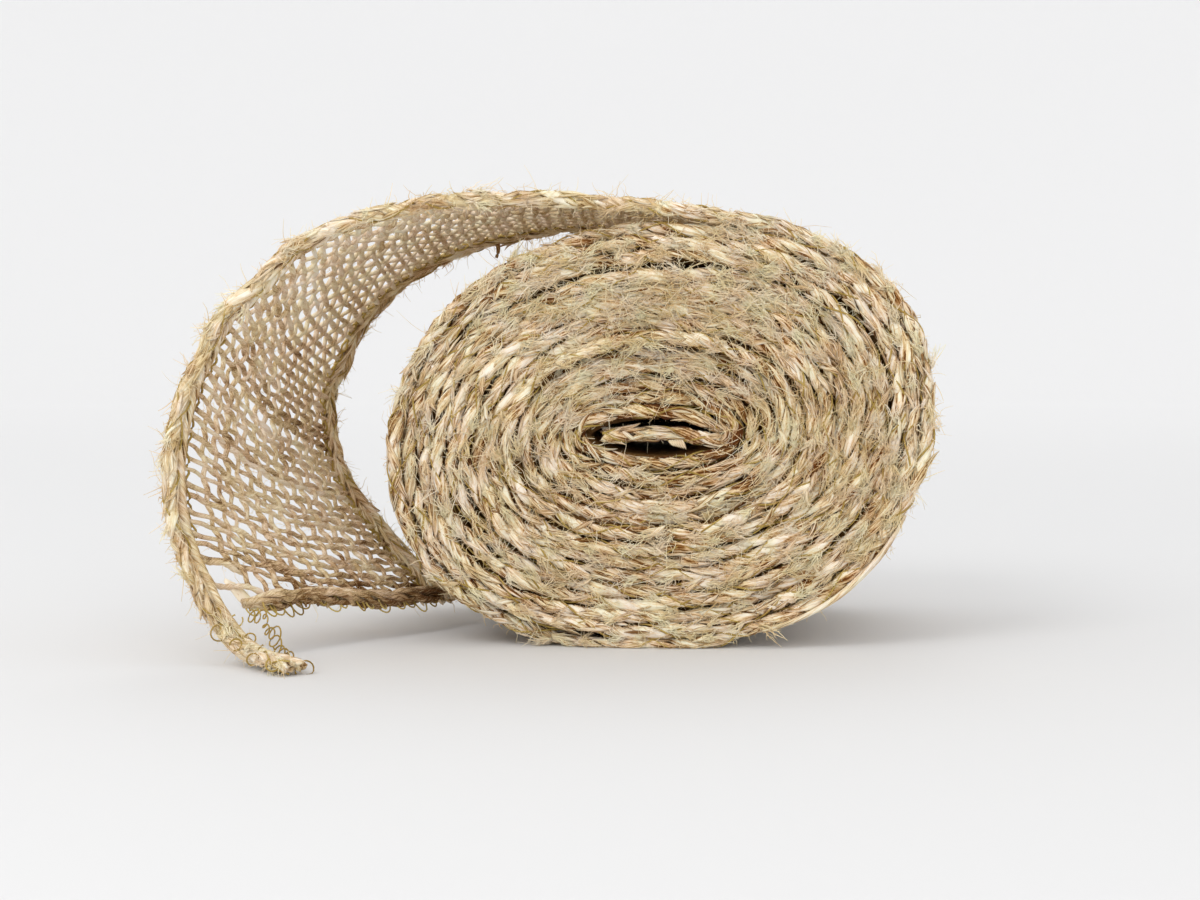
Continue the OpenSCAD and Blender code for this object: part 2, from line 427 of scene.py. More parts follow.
class Rope:
    """A selvedge's cord: plies laid round each other, each a row of leaves at the roll's face."""

    def __init__(self, side, at, seed, handed=1, scale=1.0):
        self.side, self.at, self.seed, self.lay, self.scale = side, at, seed, LAY * handed, scale
        self.phase = wander(11, 0.6, seed)
        self.leaves = default_rng(seed).normal(0, 1, (PLIES, TONE + 1, LEAVES))

    def middle(self, s):
        return across_from(self.side, self.at) + edge_shift(s, self.side), lift_wander(s) + slack(s)

    def turn(self, s, k):
        return math.tau * (s / self.lay + k / PLIES) + self.phase(s)

    def shown(self, turn):
        """1 where a ply lies at the face, 0 where it is hidden."""
        return smooth((0.45 - self.side * np.sin(turn)) / 1.3)

    def leaf(self, turn, k, what):
        """A random value of its own for each leaf: it changes where the ply is hidden."""
        number = np.floor(turn / math.tau - 0.5 + 0.25 * self.side).astype(int)
        return self.leaves[k, what, number % LEAVES]

    def ply(self, s, k):
        """Centre line of one ply."""
        across, lift = self.middle(s)
        turn = self.turn(s, k)
        shown = self.shown(turn)
        offset = PLY_OFFSET * self.scale
        across = across + offset * np.sin(turn) - self.side * shown * 0.13 * self.leaf(turn, k, REACH)
        return place(s, across, lift + offset * np.cos(turn) + shown * 0.2 * self.leaf(turn, k, HEIGHT))

    def add(self, part, start, end, step, sides, slot):
        s = steps(start, end, step)
        nudge = 0.1
        across, lift = self.middle(s)
        heart = place(s, across, lift)
        width = directions(s, across)[2]
        envelope = (PLY_OFFSET + PLY_THICK) * self.scale
        for k in range(PLIES):
            centre = self.ply(s, k)
            tangent = unit(self.ply(s + nudge, k) - self.ply(s - nudge, k))
            turn = self.turn(s, k)
            shown = self.shown(turn)
            leaf_size = 1 + 0.1 * self.leaf(turn, k, SIZE) * shown
            swell = self.scale * leaf_size * (0.74 + 0.36 * shown)
            grooves = [wander(4.5, 0.17, self.seed + 40 + 20 * k + j)(s) for j in range(sides)]
            rings, fibre = tube_rings(
                centre[None], tangent[None], (centre - heart)[None], (PLY_WIDE * swell)[None],
                (PLY_THICK * swell)[None], sides, s[None], np.stack(grooves, -1)[None], twist=0.35)
            from_heart = rings[0] - heart[:, None]
            reach = np.linalg.norm(from_heart, axis=-1) / envelope
            facing = -self.side * (from_heart * width[:, None]).sum(-1) / envelope
            # Painted shade: the cord's tone is darkened in the creases between its plies, on its side that
            # faces the ribbon's middle between packed turns (weighted by sheltered), and on the first turns
            # round the core; on the tail the crease shade is weaker and the tone a little paler.
            crease_shade = 1 - smooth((reach - 0.42) / 0.45)
            groove = smooth((0.55 - facing) / 0.8) * sheltered(s)[:, None]
            core, loose = core_shade(s), smooth(s / 50)
            tone = 0.74 + 0.17 * self.leaf(turn, k, TONE) * shown - 0.45 * core + 0.06 * loose
            shade = (0.9 - 0.45 * loose)[:, None] * crease_shade + 0.9 * groove
            part.add(rings, fibre, (tone[:, None] - shade)[None], slot)


edge_ropes = {1: Rope(1, EDGE_ROPE_AT, 100), -1: Rope(-1, EDGE_ROPE_AT, 300, handed=-1)}
inner_ropes = {
    1: Rope(1, INNER_ROPE_AT, 500, handed=-1, scale=0.9),
    -1: Rope(-1, INNER_ROPE_AT, 700, scale=0.9),
}


def add_binding(part, side, start, end, slot):
    """The hard thread that winds round a selvedge, and comes back the other way."""
    for lay, phase in BINDING_LAYS:
        s = steps(start, end, 0.9)
        turn = math.tau * s / lay + phase
        across = across_from(side, EDGE_ROPE_AT + 0.1) + edge_shift(s, side) + 1.5 * np.sin(turn)
        curve = place(s, across, lift_wander(s) + slack(s) + 1.34 * np.cos(turn))
        add_curve(part, curve, [0.3, 0.1, 1.0], THREAD_D / 2, THREAD_D / 2, 4, slot, s, 0.5)


def add_stitching(part, side, start, end, slot):
    """Chain stitches beside a selvedge: two threads that cross at every stitch."""
    s = steps(start, end, 0.5)
    for sign in (1, -1):
        swing = np.sin(math.tau * s / STITCH_L)
        across = across_from(side, SELVEDGE_W + 0.25) + edge_shift(s, side) + sign * 0.42 * swing
        lift = lift_wander(s) + sign * 0.5 * np.cos(math.pi * s / STITCH_L)
        add_curve(part, place(s, across, lift), [0.3, 0.1, 1.0], 0.26, 0.22, 5, slot, s, 0.35)


def add_yarn(part, curve, wide, thick, slot, along, tone, up=(0.11, 0.01, 1.01)):
    add_curve(part, curve, up, wide, thick, YARN_SIDES, slot, along, tone, twist=YARN_TWIST)


def uneven(rng, across, knots, size):
    """A random value for each place across the ribbon, smooth between this many knots."""
    return np.interp(across, np.linspace(0, RIBBON_W, knots), rng.normal(0, size, knots))


def crossing_side(row, column):
    return 1.0 if (row + column) % 2 else -1.0


HALF_WEAVE = 0.36

# Where the yarns along the ribbon are torn beside the front selvedge: from, to, and how many of them
TEARS = [(150.5, 155.3, 1), (156.2, CUT_AT, 2)]

# The weft yarns of the tail are dragged back towards the roll beside the front selvedge
DRAG = 8.0
DRAG_REACH = 34.0


def dragged(s, across):
    """Place along the ribbon of a weft yarn that would lie at s if it ran straight across."""
    return s - DRAG * smooth((s - 25) / 50) * (1 - smooth(across / DRAG_REACH))


def weft_rows(start, end):
    """Numbers of the weft yarns between two places."""
    return range(math.ceil(start / WEFT_SPACING), math.ceil(min(end, CUT_AT - 2) / WEFT_SPACING))


def add_weft(part, row, slot):
    """One yarn across the web, over and under the warps, with its ends held in the selvedges."""
    rng = default_rng(5000 + row)
    across = np.linspace(WEB_START - 2.2, WEB_END + 2.2, (WARPS + 2) * 3 + 1)
    column = (across - WEB_START) / WARP_SPACING
    lift = HALF_WEAVE * np.cos(math.pi * column) * crossing_side(row, 0)
    bow = rng.normal(0, 0.3) * np.sin(math.pi * (across - WEB_START) / (WEB_END - WEB_START))
    stray = uneven(rng, across, 12, 0.2)
    straight = row * WEFT_SPACING + rng.normal(0, 0.2) + bow + stray
    s = dragged(straight, across)
    radius = YARN_D / 2 * (1 + uneven(rng, across, 16, 0.15))
    tone = rng.normal(0.5, 0.08) + net_light(s) - knot_shade(straight, across)
    add_yarn(part, place(s, across, lift + slack(s)), 1.08 * radius, 0.92 * radius, slot, across, tone)


def net_light(s):
    """The net is paler where the tail arches over the roll, and dark at its cut."""
    return 0.2 * smooth(s / 20) * (1 - smooth((s - 70) / 50)) - 0.35 * smooth((s - CUT_AT + 14) / 14)


def knot_shade(s, across):
    """Darkens the yarns where they cross."""
    near_weft = np.cos(math.tau * s / WEFT_SPACING)
    near_warp = np.cos(math.tau * (across - WEB_START) / WARP_SPACING)
    return 0.22 * smooth((near_weft + near_warp - 0.6) / 1.2)


warp_wander = [wander(11, 0.28, 60 + c) for c in range(WARPS)]
warp_swell = [wander(6, 0.12, 80 + c) for c in range(WARPS)]


def warp_at(column):
    return WEB_START + (column + 1) * WARP_SPACING


def warp_middle(s, column):
    across = warp_at(column) + warp_wander[column](s)
    lift = -HALF_WEAVE * np.cos(math.pi * s / WEFT_SPACING) * crossing_side(0, column + 1)
    return place(s, across, lift + slack(s))


def add_warps(part, start, end, step, slot):
    """The yarns along the ribbon, interrupted where the net is torn."""
    nudge = 0.1
    for column in range(WARPS):
        gaps = [(a, b) for a, b, columns in TEARS if column < columns]
        starts = [start] + [b for a, b in gaps if start < b < end]
        ends = [a for a, b in gaps if start < a < end] + [end]
        for run_start, run_end in zip(starts, ends):
            if run_end - run_start < 1:
                continue
            s = steps(run_start, run_end, step)
            centre = warp_middle(s, column)[None]
            tangent = unit(warp_middle(s + nudge, column) - warp_middle(s - nudge, column))[None]
            across = np.full_like(s, warp_at(column))
            width = directions(s, across)[2][None]
            radius = YARN_D / 2 * 0.92 * (1 + warp_swell[column](s))
            tone = 0.45 + 0.04 * (column % 4) + net_light(s) - knot_shade(s, across)
            add_tubes(part, centre, tangent, np.cross(tangent, width), 1.05 * radius, 0.95 * radius,
                      YARN_SIDES, slot, s, tone, twist=YARN_TWIST)


def random_units(rng, count):
    return unit(rng.normal(size=(count, 3)))


def add_fibres(part, rng, root, direction, length, bend, radius, slot, tone, points=6):
    """Loose fibres: tapered three-sided tubes that bend and curl away from their roots."""
    t = np.linspace(0, 1, points)[None, :, None]
    count = len(root)
    waves = rng.uniform(2.5, 9.0, count)[:, None, None]
    curl = 0.15 * random_units(rng, count)[:, None] * np.sin(waves * t)
    curl += 0.07 * random_units(rng, count)[:, None] * np.sin(1.7 * waves * t)
    curve = root[:, None] + length[:, None, None] * (direction[:, None] * t + bend[:, None] * t * t + curl)
    taper = radius[:, None] * (1 - 0.6 * np.linspace(0, 1, points) ** 2)
    up = np.cross(direction, bend + 1e-3)[:, None]
    far = np.linspace(0, 1, points)[None] * length[:, None]
    add_tubes(part, curve, tangents(curve), up + 1e-6, taper, taper, 3, slot, far, tone[:, None])


def fuzzy_places(rng, start, end, count):
    """Places along the ribbon, most of them where the face is most frayed: over the core and right of it."""
    s = rng.uniform(start, end, 3 * count)
    x, z = along_path(path, s)
    weight = 0.3 + 0.7 * np.exp(-((x - 4) / 24) ** 2 - ((z - 66) / 9) ** 2)
    weight += 0.4 * np.exp(-((x - 40) / 10) ** 2 - ((z - 39) / 14) ** 2)
    return s[rng.uniform(0, 1, len(s)) < weight][:count]


def clear_of_slot(s):
    """0 on the turn round the core slot, whose fibres have to stay out of the inner end's way."""
    return smooth(turns_out(s) - 0.8)


def on_cord(side, s, angle, reach, height, apart=0.0):
    """Points round a selvedge's edge cord: angle 0 is the ribbon's edge."""
    across, lift = edge_ropes[side].middle(s)
    return place(s + apart, across - side * reach * np.cos(angle), lift + height * np.sin(angle))


def off_cord(side, s, angle):
    """The ribbon's run, and the direction away from the edge cord at this angle round it."""
    run, out, width = directions(s, edge_ropes[side].middle(s)[0])
    return run, -side * width * np.cos(angle)[:, None] + out * np.sin(angle)[:, None]


def add_edge_fuzz(part, side, start, end, per_mm, slot, seed, reach):
    """Fibres that stand off a selvedge's edge cord, most of them lying nearly along it."""
    rng = default_rng(seed)
    s = fuzzy_places(rng, start, end, int((end - start) * per_mm))
    count = len(s)
    angle = rng.normal(0, 1.0, count)
    root = on_cord(side, s, angle, 1.3, 1.25)
    run, away = off_cord(side, s, angle)
    forward = np.sign(rng.uniform(-1, 1, count))[:, None]
    leave = rng.uniform(0.05, 0.75, count)[:, None] ** 1.4
    direction = unit(forward * run + leave * away + 0.95 * random_units(rng, count))
    bend = 1.15 * random_units(rng, count) - 0.3 * away * leave
    length = (reach * rng.gamma(2.4, 0.8, count) + 0.6) * (0.25 + 0.75 * clear_of_slot(s))
    radius = FIBRE_R * rng.uniform(0.6, 1.3, count)
    tone = np.clip(0.5 + wander(9, 0.35, seed)(s) + rng.normal(0, 0.2, count), 0, 1)
    add_fibres(part, rng, root, direction, length, bend, radius, slot, tone)


def add_slivers(part, side, start, end, per_mm, slot, seed):
    """Flat pointed bundles of jute that lie over the edge cord, some with a lifted end."""
    rng = default_rng(seed)
    count, points, sides = int((end - start) * per_mm), 7, 7
    t = np.linspace(0, 1, points)
    length = rng.uniform(2.6, 6.0, count)[:, None]
    s = rng.uniform(start, end - 6, count)[:, None] + length * t
    angle = rng.normal(0, 0.75, count)[:, None] + rng.normal(0, 0.8, count)[:, None] * (t - 0.5)
    lifted = (rng.uniform(0, 1, count) ** 4 * 1.3)[:, None] * t ** 3
    height = 1.24 + rng.uniform(0, 0.22, count)[:, None] + lifted
    centre = on_cord(side, s, angle, height, height)
    taper = np.sin(math.pi * (0.03 + 0.94 * t)) ** 0.7
    wide = rng.uniform(0.25, 0.6, count)[:, None] * taper
    grooves = rng.normal(0, 0.25, (count, 1, sides)) + rng.normal(0, 0.1, (count, points, sides))
    tone = rng.normal(0.6, 0.1, count)[:, None]
    heart = on_cord(side, s, angle, 0.0, 0.0)
    add_tubes(part, centre, tangents(centre), centre - heart, wide, 0.22 * taper, sides, slot, s, tone,
              grooves)


def add_tufts(part, side, start, end, count, slot, seed):
    """Frayed ends of broken slivers: bunches of fibres that fan out from one place."""
    rng = default_rng(seed)
    each = 24
    roots = fuzzy_places(rng, start, end, count)
    roots = roots[clear_of_slot(roots) > 0.3]
    count, total = len(roots), each * len(roots)
    s = np.repeat(roots, each)
    angle = np.repeat(rng.normal(0, 0.7, count), each) + rng.normal(0, 0.12, total)
    root = on_cord(side, s, angle, 1.25, 1.2, rng.normal(0, 0.25, total))
    run, away = off_cord(side, s, angle)
    forward = np.repeat(np.sign(rng.uniform(-1, 1, count)), each)[:, None]
    aim = np.repeat(rng.uniform(0.1, 0.8, count), each)[:, None]
    drift = np.repeat(rng.normal(0, 0.45, count), each)[:, None]
    sideways = drift * np.cross(run, away)
    direction = unit(forward * run + aim * away + sideways + 0.25 * random_units(rng, total))
    bend = 0.5 * random_units(rng, total) - 0.2 * away
    length = np.repeat(rng.uniform(2.0, 4.6, count), each) * rng.uniform(0.6, 1.15, total)
    radius = FIBRE_R * rng.uniform(0.9, 1.7, total)
    tone = np.clip(np.repeat(rng.uniform(0.45, 1.1, count), each) + rng.normal(0, 0.15, total), 0, 1)
    add_fibres(part, rng, root, direction, length, bend, radius, slot, tone, points=5)


def add_web_fuzz(part, start, end, per_mm, slot, seed):
    """Short fibres all over the net's yarns."""
    rng = default_rng(seed)
    count = int((end - start) * per_mm)
    rows = np.round(rng.uniform(start, end, count) / WEFT_SPACING)
    s = np.clip(rows * WEFT_SPACING, start, end)
    across = rng.uniform(WEB_START, WEB_END, count)
    root = place(s, across, rng.uniform(-0.4, 0.4, count))
    width = directions(s, across)[2]
    direction = unit(random_units(rng, count) + 0.8 * width * np.sign(rng.uniform(-1, 1, count))[:, None])
    add_fibres(part, rng, root, direction, rng.gamma(2, 0.8, count) + 0.4, 0.6 * random_units(rng, count),
               FIBRE_R * rng.uniform(0.5, 1.0, count), slot, rng.uniform(0, 1, count), points=5)


def add_torn_yarns(part, slot):
    """Two yarns that still cross the torn openings."""
    rng = default_rng(70)
    t = np.linspace(0, 1, 16)
    for start, end, across_end, phase in ((155.0, 157.6, 17.0, 1), (150.4, 152.5, 13.0, 2)):
        across = 4.0 + (across_end - 4.0) * t
        s = start + (end - start) * t + 0.35 * np.sin(7 * t + phase)
        radius = YARN_D / 2 * (1 + 0.2 * rng.normal(0, 1, len(t)))
        add_yarn(part, place(s, across, 0.4 * np.sin(9 * t)), radius, radius, slot, across, 0.55)


HEM_AT = CUT_AT - 1.2
HEM_START = WEB_START + 2.5
HEM_YARNS = 9
HEM_LOOPS = 17
HEM_STUBS = 9


def add_hem(part, slot, thread_slot):
    """The net's cut end, curled up into a thick roll of yarns, with cut loops and stubs hanging out."""
    rng = default_rng(71)
    across = np.linspace(HEM_START, WEB_END + 2.5, 90)
    swollen = smooth((across - HEM_START + 1) / 9) * (1 + uneven(rng, across, 22, 0.3))
    sag = 0.6 * np.sin(across / 5.3)
    for k in range(HEM_YARNS):
        turn = math.tau * k / HEM_YARNS + across / 4.5 + uneven(rng, across, 22, 0.4)
        size = (0.35 + 1.05 * swollen) * (0.5 if k % 3 == 0 else 1.0)
        s = HEM_AT + sag + size * np.cos(turn)
        curve = place(s, across, size * np.sin(turn) - 0.3)
        radius = 0.52 * (1 + uneven(rng, across, 30, 0.28))
        # Painted shade: the hem's yarns are darker than the net's, and darker still where the hem is thick,
        # on the side of the curl towards the cut.
        tone = 0.3 + 0.04 * (k % 4) - 0.34 * smooth(0.6 + 0.5 * np.cos(turn)) * swollen
        add_yarn(part, curve, radius, radius, slot, across, tone, up=(0.1, 0.2, 1.0))
    u = np.linspace(0, 1, 14)
    for k in range(HEM_LOOPS):
        at = HEM_START + 1 + 2.7 * k + rng.normal(0, 0.5)
        reach, wide = rng.uniform(1.0, 2.7), rng.uniform(0.7, 1.6)
        turn = math.pi * (1.5 * u - 0.25) + rng.normal(0, 0.3)
        loop = place(CUT_AT + sag[min(5 * k, len(sag) - 1)] + reach * np.sin(turn), at + wide * np.cos(turn),
                     -0.4 + rng.normal(0, 0.7) * u)
        add_thread(part, loop, 0.16, thread_slot, rng.uniform(0.2, 0.8))
    for k in range(HEM_STUBS):
        at = HEM_START + 4 + 5.2 * k + rng.normal(0, 1.0)
        reach = rng.uniform(1.6, 3.2)
        stub = place(HEM_AT + reach * u, at + rng.normal(0, 0.8) * u + 0.3 * np.sin(4 * u), -0.6 * u)
        add_thread(part, stub, 0.42 * (1.05 - u) ** 0.4, slot, rng.uniform(0.1, 0.5), sides=6)


def add_cut_loops(part, slot):
    """The stitching thread that came off the net: it curls in loops from the hem's corner to the tip."""
    rng = default_rng(72)
    loops = 12
    u = np.linspace(0, 1, 15 * loops)
    start, end = place(CUT_AT + 0.2, HEM_START + 0.8), place(CUT_AT + TIP_L - 2.5, SELVEDGE_W - 0.8)
    run = unit(end - start)
    upright = unit(np.cross(run, [0.0, -1.0, 0.0]))
    knots = np.linspace(0, 1, loops)
    radius, sway, depth = (np.interp(u, knots, rng.normal(mean, spread, loops))
                           for mean, spread in ((1.1, 0.3), (0.0, 0.8), (0.0, 0.6)))
    ends = smooth(8 * u) * smooth(8 * (1 - u))
    turn = math.tau * loops * u + 1.2 * np.interp(u, knots, rng.normal(0, 1, loops))
    along = (end - start) * u[:, None] + (ends * radius * np.cos(turn))[:, None] * run
    aside = (ends * (radius * np.sin(turn) + sway))[:, None] * upright
    curve = start + along + aside
    curve[:, 1] += ends * (depth + 0.5 * np.sin(0.5 * turn))
    add_thread(part, curve, LOOP_THREAD_R, slot, 0.35)


def add_tip_loops(part, slot):
    """Thread loops that stand off the loose end of the front selvedge."""
    rng = default_rng(73)
    u = np.linspace(0, 1, 14)
    for k in range(9):
        s = CUT_AT + 3 + (TIP_L - 3) * k / 8
        heart = place(s, -0.4 if k % 2 else SELVEDGE_W - 0.6, rng.normal(0, 0.5))
        turn = rng.uniform(0, 6) + 1.6 * math.pi * u
        radius = rng.uniform(0.9, 1.5)
        loop = heart + radius * np.stack([np.cos(turn), 0.5 * np.sin(turn + 1), np.sin(turn)], -1)
        add_thread(part, loop, LOOP_THREAD_R, slot, rng.uniform(0.2, 0.7))


def add_torn_sliver(part, slot):
    """The pale loose sliver that hangs in the lower torn opening."""
    t = np.linspace(0, 1, 12)
    s, across = 154.5 + 6.0 * t, 7.0 + 5.0 * t + 0.6 * np.sin(5 * t)
    curve = place(s, across, 0.8 * np.sin(3 * t))
    wide = 1.5 * np.sin(math.pi * (0.1 + 0.8 * t))
    add_curve(part, curve, directions(s, across)[1], wide, 0.16, 10, slot, s, 1.0)


LOOSE_TURN = (-102.0, -68.0)


def add_loose_turn(part, slot):
    """A pale strand that has come away from the outermost turn, low on the right."""
    s = steps(*LOOSE_TURN, 0.8)
    t = (s - s[0]) / (s[-1] - s[0])
    for k, (depth, lift) in enumerate([(-0.5, 0.9), (0.3, 1.2), (1.2, 1.1)]):
        across = depth + edge_shift(s, 1)
        raised = lift + lift_wander(s) + 0.6 * np.sin(math.pi * t) + 0.1 * np.sin(9 * t + k)
        wide = np.sin(math.pi * (0.04 + 0.92 * t)) ** 0.5
        add_curve(part, place(s, across, raised), directions(s, across)[1], wide, 0.5 * wide, 10, slot, s,
                  0.8 - 0.1 * k, twist=0.2)


def add_ragged_sliver(part, slot):
    """A short frayed sliver that hangs from the inner end into the lower half of the slot."""
    t = np.linspace(0, 1, 7)
    root = place(PATH_START + 13.6, 0.3, 1.0)
    for k in range(6):
        curve = root + np.stack([0.45 * k - 1.2 + 0.9 * t, -0.5 * t - 0.1 * k, -(1.1 + 0.12 * k) * t], -1)
        wide = 0.32 * np.sin(math.pi * (0.3 + 0.69 * t))
        add_curve(part, curve, [0.1, -1.0, 0.1], wide, 0.4 * wide, 7, slot, 4 * t, 0.55)


def add_hanging_end(part, slot):
    """The end of a yarn that hangs from the back selvedge near the top of the tail."""
    t = np.linspace(0, 1, 8)
    root = place(54.0, RIBBON_W - 1.5)
    curve = root + np.stack([0.5 * np.sin(3 * t), -0.6 * t, -0.5 - 3.6 * t], -1)
    add_thread(part, curve, 0.52 * (1 - 0.35 * t), slot, 0.25, sides=8)


# ---------- materials

def nodes_of(name):
    material = bpy.data.materials.new(name)
    material.use_nodes = True
    return material, material.node_tree.nodes, material.node_tree.links


def add_node(nodes, kind, values=(), **settings):
    """A new shader node with these settings, and these pairs of socket and value."""
    node = nodes.new("ShaderNode" + kind)
    for setting, value in settings.items():
        setattr(node, setting, value)
    for socket, value in values:
        node.inputs[socket].default_value = value
    return node


def fill_ramp(ramp, stops):
    """Sets a colour ramp to these pairs of place and linear colour."""
    elements = ramp.color_ramp.elements
    while len(elements) < len(stops):
        elements.new(0.5)
    for element, (at, colour) in zip(elements, stops):
        element.position = at
        element.color = colour


def linear(red, green, blue):
    """Linear colour of an sRGB colour given from 0 to 255."""
    return tuple(((v / 255 + 0.055) / 1.055) ** 2.4 for v in (red, green, blue)) + (1.0,)


# An olive and a pinkish cast, which the jute has in turn
TINTS = [(0.38, (0.98, 0.985, 0.9, 1.0)), (0.62, (1.0, 0.955, 0.965, 1.0))]

# How much the broad patches of light and dark count
PATCHINESS = 0.8


def jute(name, colours, along_scale, detail, rough, bump, contrast=1.5, sheen=0.03):
    """Fibrous material: streaks along each yarn, its tone, and broad patches of colour. Its tone is partly
    each yarn's own and partly painted shade and light.

    colours are (place, sRGB colour) from dark to pale.
    """
    material, nodes, links = nodes_of(name)
    shader = nodes["Principled BSDF"]
    fibre = add_node(nodes, "Attribute", attribute_name="fibre")
    tone = add_node(nodes, "Attribute", attribute_name="tone")
    stretch = add_node(nodes, "VectorMath", [(1, (1.0, 1.0, along_scale))], operation="MULTIPLY")
    links.new(fibre.outputs["Vector"], stretch.inputs[0])
    frame_place = nodes.new("ShaderNodeTexCoord").outputs["Object"]

    def noise(source, values, **settings):
        node = add_node(nodes, "TexNoise", values, **settings)
        links.new(source, node.inputs["Vector"])
        return node

    streaks = noise(stretch.outputs[0], [("Scale", detail), ("Detail", 4.0), ("Roughness", 0.65)],
                    noise_dimensions="4D")
    links.new(tone.outputs["Fac"], streaks.inputs["W"])
    patches = noise(frame_place, [("Scale", 130.0), ("Detail", 2.0)])
    hues = noise(frame_place, [("Scale", 230.0), ("Detail", 1.0)])

    def weigh(value, factor, total=None):
        node = add_node(nodes, "Math", [(1, factor)], operation="MULTIPLY_ADD")
        links.new(value, node.inputs[0])
        if total is None:
            node.inputs[2].default_value = 0.05 - 0.5 * (contrast + PATCHINESS)
        else:
            links.new(total, node.inputs[2])
        return node.outputs[0]

    mixed = weigh(streaks.outputs["Fac"], contrast)
    mixed = weigh(tone.outputs["Fac"], 0.9, mixed)
    mixed = weigh(patches.outputs["Fac"], PATCHINESS, mixed)
    ramp = nodes.new("ShaderNodeValToRGB")
    fill_ramp(ramp, [(at, linear(*colour)) for at, colour in colours])
    links.new(mixed, ramp.inputs["Fac"])
    tints = nodes.new("ShaderNodeValToRGB")
    fill_ramp(tints, TINTS)
    links.new(hues.outputs["Fac"], tints.inputs["Fac"])
    tinted = add_node(nodes, "Mix", [("Factor", 1.0)], data_type="RGBA", blend_type="MULTIPLY")
    links.new(ramp.outputs["Color"], tinted.inputs["A"])
    links.new(tints.outputs["Color"], tinted.inputs["B"])
    links.new(tinted.outputs["Result"], shader.inputs["Base Color"])
    relief = add_node(nodes, "Bump", [("Strength", bump), ("Distance", 0.0004)])
    links.new(streaks.outputs["Fac"], relief.inputs["Height"])
    links.new(relief.outputs["Normal"], shader.inputs["Normal"])
    shader.inputs["Roughness"].default_value = rough
    shader.inputs["Specular IOR Level"].default_value = 0.18
    shader.inputs["Sheen Weight"].default_value = sheen
    shader.inputs["Sheen Roughness"].default_value = 0.5
    return material


# The cords' darkest colours are reached by the painted shade in their creases and grooves; the tail's cords
# are the same jute with paler darks and less contrast, so that the painted shade on them is lighter than in
# the roll's face.
CORD = jute("jute_cord", [(0.0, (92, 50, 12)), (0.22, (152, 106, 54)), (0.45, (218, 186, 140)),
                          (0.7, (245, 224, 188)), (1.0, (255, 248, 230))], 0.1, 2.0, 0.8, 1.0, contrast=4.2)
TAIL_CORD = jute("jute_cord_of_tail", [(0.0, (112, 76, 38)), (0.22, (166, 130, 84)), (0.45, (216, 188, 144)),
                                       (0.7, (240, 221, 186)), (1.0, (255, 248, 230))],
                 0.1, 2.0, 0.8, 0.8, contrast=2.5)
YARN = jute("jute_yarn", [(0.0, (112, 76, 36)), (0.3, (214, 184, 142)), (0.65, (250, 235, 208)),
                          (1.0, (255, 249, 236))], 0.14, 2.2, 0.85, 0.8, contrast=1.8)
THREAD = jute("hard_thread", [(0.0, (118, 92, 34)), (0.5, (182, 154, 82)), (1.0, (218, 198, 130))],
              0.5, 1.2, 0.5, 0.3, contrast=0.8)
FIBRE = jute("loose_fibre", [(0.0, (222, 190, 134)), (0.5, (248, 228, 188)), (1.0, (255, 248, 224))],
             0.2, 1.0, 0.6, 0.0, contrast=0.8, sheen=0.0)
# The packed net's dark colour is painted shade, for the gaps between the roll's turns.
BACKING_SHADE = jute("packed_net_shade", [(0.0, (84, 48, 14)), (0.5, (112, 78, 38)), (1.0, (150, 118, 74))],
               0.8, 3.0, 0.9, 0.6)


# ---------- pieces

# Each piece has its cords or yarns, threads and fibres at these places of its list of materials
YARNS, THREADS, FIBRES = range(3)
SELVEDGE_MATERIALS = [CORD, THREAD, FIBRE]
TAIL_MATERIALS = [TAIL_CORD, THREAD, FIBRE]
NET_MATERIALS = [YARN, THREAD, FIBRE]
SIDES = {"front": 1, "back": -1}


def selvedge(name, side, start, end, step, sides, fuzz, tufts, seed, reach=0.45, slivers=0.8,
             both_cords=True, extras=(), materials=SELVEDGE_MATERIALS):
    """A length of a selvedge. extras are functions that add to it, each with its material's place."""
    part = Part()
    edge_ropes[side].add(part, start, end, step, sides, YARNS)
    if both_cords:
        inner_ropes[side].add(part, start, end, step * 1.25, sides - 4, YARNS)
    add_binding(part, side, start, end, THREADS)
    add_edge_fuzz(part, side, start, end, fuzz, FIBRES, seed + 1, reach)
    if end - start > 12:
        add_slivers(part, side, start, end, slivers, YARNS, seed + 2)
    if tufts:
        add_tufts(part, side, start, end, tufts, FIBRES, seed + 3)
    for extra, slot in extras:
        extra(part, slot)
    piece = part.piece(name, materials)
    return piece


def stitching(name, side, start, end):
    part = Part()
    add_stitching(part, side, start, end, 0)
    piece = part.piece(name, [THREAD])
    return piece


def net(name, start, end, fuzz, seed, step=0.725):
    part = Part()
    for row in weft_rows(start, end):
        add_weft(part, row, YARNS)
    add_warps(part, start, end, step, YARNS)
    add_web_fuzz(part, start, end, fuzz, FIBRES, seed)
    piece = part.piece(name, NET_MATERIALS)
    return piece


def cut_end(name):
    """What hangs at the net's cut: its curled hem, thread loops, torn yarns and a loose sliver."""
    part = Part()
    add_hem(part, YARNS, THREADS)
    add_torn_yarns(part, YARNS)
    add_torn_sliver(part, FIBRES)
    piece = part.piece(name, NET_MATERIALS)
    return piece


